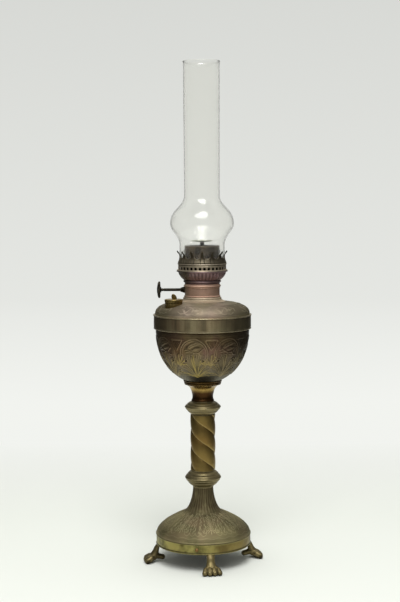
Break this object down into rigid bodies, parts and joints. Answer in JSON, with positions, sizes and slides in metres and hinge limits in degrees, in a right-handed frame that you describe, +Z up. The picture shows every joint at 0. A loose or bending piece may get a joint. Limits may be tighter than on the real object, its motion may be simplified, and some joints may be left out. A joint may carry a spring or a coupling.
{
  "type": "kerosene table lamp",
  "caption": "Tall kerosene table lamp in embossed brass: domed base on paw feet, twisted column, round font with a filler cap, round-wick burner and a bulged glass chimney.",
  "frame": {"origin": "on the floor plane, on the lamp's axis", "axes": "+Z up along the lamp's axis, -Y towards the front, -X towards the wick's thumbwheel"},
  "size_m": [0.1756, 0.1756, 0.72],
  "materials": {
    "aged_brass": "embossed and spun, with olive-brown patina",
    "bright_brass": "worn, partly polished",
    "dark_bronze": "dark patina, satin",
    "copper_patina": "reddish brown heat patina",
    "cast_iron": "rough cast",
    "steel": "plain turned",
    "leather": "pressed washer",
    "wick_cotton": "woven cotton",
    "clear_glass": "clear blown glass"
  },
  "bodies": {
    "stand": {"base_dome": "aged_brass", "lower_knop": "aged_brass", "twisted_column": "aged_brass", "upper_knop": "aged_brass", "font_bowl": "aged_brass", "font_band": "aged_brass", "font_shoulder": "aged_brass", "paw_foot_front": "bright_brass", "paw_foot_right": "bright_brass", "paw_foot_back": "bright_brass", "paw_foot_left": "bright_brass", "base_band": "bright_brass", "font_socket": "bright_brass", "font_boss": "bright_brass", "filler_neck": "bright_brass", "font_collar": "bright_brass", "outer_wick_tube": "bright_brass", "inner_wick_tube": "bright_brass", "draught_duct": "bright_brass", "band_screws": "dark_bronze", "socket_ring": "dark_bronze", "shaft_gland": "dark_bronze", "burner_neck": "copper_patina", "air_bowl": "copper_patina", "base_weight": "cast_iron", "foot_screws": "steel", "tie_rod": "steel", "base_washer": "steel", "base_nut": "steel", "socket_washer": "steel", "socket_nut": "steel", "collar_gasket": "leather"},
    "gallery": {"chimney_gallery": "copper_patina", "burner_cap": "dark_bronze"},
    "glass": {"chimney": "clear_glass"},
    "spreader": {"spreader_stem": "steel", "flame_spreader": "steel"},
    "wick_knob": {"wick_shaft": "dark_bronze", "pinion": "bright_brass", "thumbwheel": "dark_bronze"},
    "wick_set": {"wick": "wick_cotton", "wick_carrier": "bright_brass"},
    "cap_washer": {"filler_washer": "leather"},
    "cap": {"filler_cap": "dark_bronze", "cap_finial": "dark_bronze"}
  },
  "joints": [
    {"name": "wick_turn", "type": "hinge", "parent": "stand", "child": "wick_knob", "pos_m": [-0.04, 0, 0.3955], "axis": [1, 0, 0], "range_deg": [-143, 71.6]},
    {"name": "wick_rise", "type": "slide", "parent": "stand", "child": "wick_set", "axis": [0, 0, 1], "range_m": [-0.01, 0.005]},
    {"name": "gallery_lift", "type": "slide", "parent": "stand", "child": "gallery", "axis": [0, 0, 1], "range_m": [0, 0.06]},
    {"name": "chimney_lift", "type": "slide", "parent": "gallery", "child": "glass", "axis": [0, 0, 1], "range_m": [0, 0.1]},
    {"name": "spreader_lift", "type": "slide", "parent": "stand", "child": "spreader", "axis": [0, 0, 1], "range_m": [0, 0.06]},
    {"name": "cap_rise", "type": "slide", "parent": "stand", "child": "cap_washer", "axis": [0, 0, 1], "range_m": [0, 0.0045]},
    {"name": "cap_turn", "type": "hinge", "parent": "cap_washer", "child": "cap", "pos_m": [-0.04055, -0.02839, 0.3815], "axis": [0, 0, 1], "range_deg": [0, 1080]}
  ],
  "couplings": [
    {"joint": "wick_rise", "follows": "wick_turn", "m_per_rad": 0.004},
    {"joint": "cap_rise", "follows": "cap_turn", "m_per_rad": 0.0002387}
  ]
}
